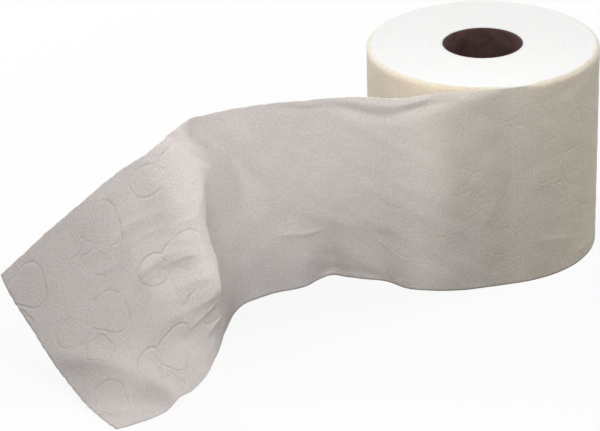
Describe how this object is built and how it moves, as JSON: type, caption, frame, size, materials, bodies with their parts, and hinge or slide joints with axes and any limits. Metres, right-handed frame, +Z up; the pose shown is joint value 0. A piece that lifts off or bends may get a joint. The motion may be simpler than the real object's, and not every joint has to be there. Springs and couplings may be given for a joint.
{
  "type": "toilet paper roll",
  "caption": "Wound roll of soft tissue on a cardboard tube, standing on its end, with its free end pulled out in a rumpled, folded ramp.",
  "frame": {"origin": "on the axis of the core's bore, in the plane of the end face the roll stands on", "axes": "+Z up along the bore; the free web leaves the front of the roll (-Y side) and runs towards -X"},
  "size_m": [0.3158, 0.2621, 0.114],
  "materials": {
    "cardboard": "raw brown-grey board, matte, with a spiral seam",
    "tissue": "soft creped two-ply tissue, matte, lightly embossed"
  },
  "bodies": {
    "root": {"core_tube": "cardboard", "paper_web": "tissue"}
  },
  "joints": []
}
